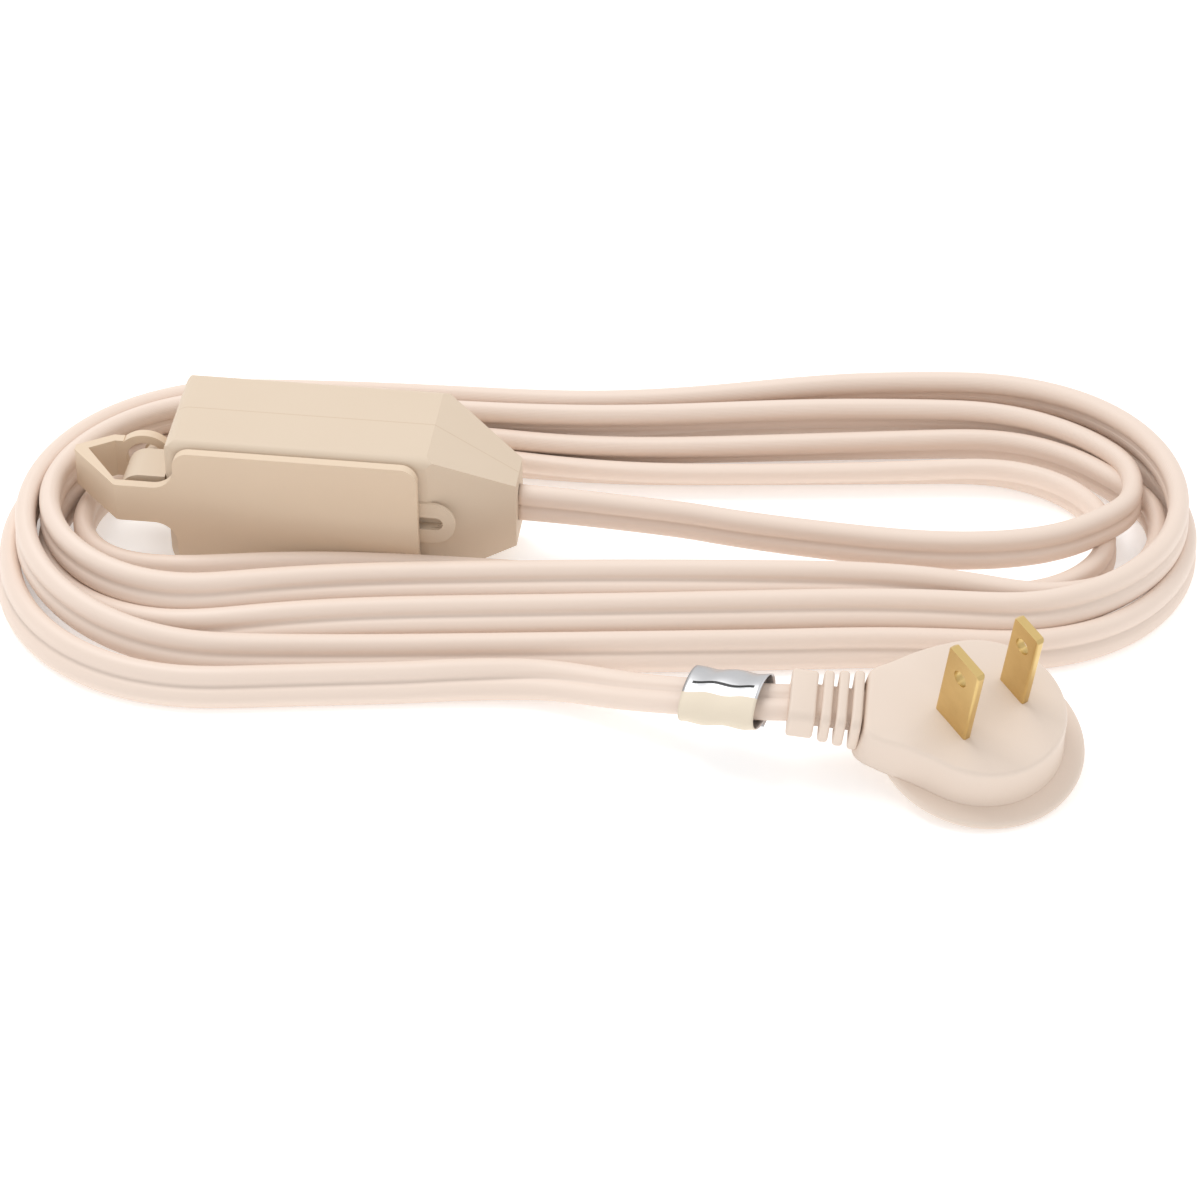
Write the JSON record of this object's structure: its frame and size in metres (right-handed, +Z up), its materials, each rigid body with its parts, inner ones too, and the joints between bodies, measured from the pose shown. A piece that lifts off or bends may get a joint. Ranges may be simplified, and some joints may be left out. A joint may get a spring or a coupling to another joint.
{
  "type": "extension cord",
  "caption": "Household extension cord with a long outlet block, a swinging outlet cover, a flat twin cord wound in a hank, and a flat plug with a finger flange.",
  "frame": {"origin": "bottom centre of the outlet block with its cover, on the floor; the cord and plug lie around it", "axes": "+X along the outlet block from the cover's fold towards the cord end, +Y from the covered front face to the rear face, +Z up"},
  "size_m": [0.2129, 0.1137, 0.0314],
  "materials": {
    "block_tan": "moulded tan plastic, satin",
    "cover_tan": "soft moulded tan plastic, satin",
    "cord_almond": "extruded soft vinyl, satin",
    "plug_cream": "moulded soft vinyl, satin",
    "bridge_dark": "hard moulded carrier",
    "tag_foil": "printed foil label, print left out",
    "brass": "stamped and folded brass",
    "copper_core": "stranded copper conductor"
  },
  "bodies": {
    "cord_set": {"front_shell": "block_tan", "rear_shell": "block_tan", "slot_divider": "block_tan", "line_bus": "brass", "neutral_bus": "brass", "line_core": "copper_core", "neutral_core": "copper_core", "cord_root": "cord_almond", "cord_lead": "cord_almond", "cord_coil": "cord_almond", "cord_tail": "cord_almond", "cord_tag": "tag_foil", "strain_relief": "plug_cream", "plug_body": "plug_cream", "plug_bridge": "bridge_dark", "line_blade": "brass", "neutral_blade": "brass", "plug_line_core": "copper_core", "plug_neutral_core": "copper_core"},
    "cover": {"safety_cover": "cover_tan"}
  },
  "joints": [
    {"name": "cover_swivel", "type": "hinge", "parent": "cord_set", "child": "cover", "pos_m": [-0.0274, 0.00165, 0.014], "axis": [0, -1, 0], "range_deg": [0, 90]}
  ]
}
